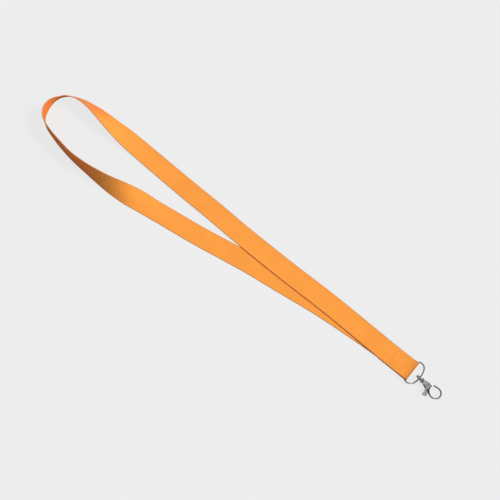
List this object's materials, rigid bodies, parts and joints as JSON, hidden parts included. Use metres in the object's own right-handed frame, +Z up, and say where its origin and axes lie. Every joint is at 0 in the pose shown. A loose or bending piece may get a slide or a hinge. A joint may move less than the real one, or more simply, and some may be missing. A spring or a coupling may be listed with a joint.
{
  "type": "neck lanyard",
  "caption": "Flat woven ribbon neck lanyard, its ends sewn together round a half-round metal ring that carries a swivel trigger hook.",
  "frame": {"origin": "on the surface that the lanyard lies on, below the middle of the ring's straight bar", "axes": "+X from the neck turn to the hook, +Y across the ribbon towards the loop's further strand, +Z up from the surface"},
  "size_m": [0.4729, 0.067, 0.02],
  "materials": {
    "ribbon_weave": "matte",
    "sewing_thread": "matte",
    "nickel_plate": "polished",
    "spring_steel": "satin"
  },
  "bodies": {
    "strap": {"ribbon": "ribbon_weave", "needle_thread": "sewing_thread", "bobbin_thread": "sewing_thread"},
    "ring": {"d_ring": "nickel_plate"},
    "eye": {"swivel_eye": "nickel_plate"},
    "hook": {"hook_body": "nickel_plate", "pivot_pin": "nickel_plate", "trigger_spring": "spring_steel"},
    "trigger": {"trigger_lever": "nickel_plate"}
  },
  "joints": [
    {"name": "ring_turn", "type": "hinge", "parent": "strap", "child": "ring", "pos_m": [0, 0, 0.0019], "axis": [0, -1, 0], "range_deg": [-92, 84]},
    {"name": "eye_turn", "type": "hinge", "parent": "ring", "child": "eye", "pos_m": [0.01008, -0.0015, 0.0031], "axis": [-0.0707, -0.9975, -0.0084], "range_deg": [-75, 75]},
    {"name": "hook_swivel", "type": "hinge", "parent": "eye", "child": "hook", "pos_m": [0.01008, -0.0015, 0.0031], "axis": [0.9903, -0.1392, 0], "continuous": true},
    {"name": "trigger_pull", "type": "hinge", "parent": "hook", "child": "trigger", "pos_m": [0.01968, -0.00285, 0.0031], "axis": [0, 0, -1], "range_deg": [0, 25], "stiffness_Nm_per_rad": 0.02, "springref_deg": -28.65, "deforming": ["trigger_spring"]}
  ]
}
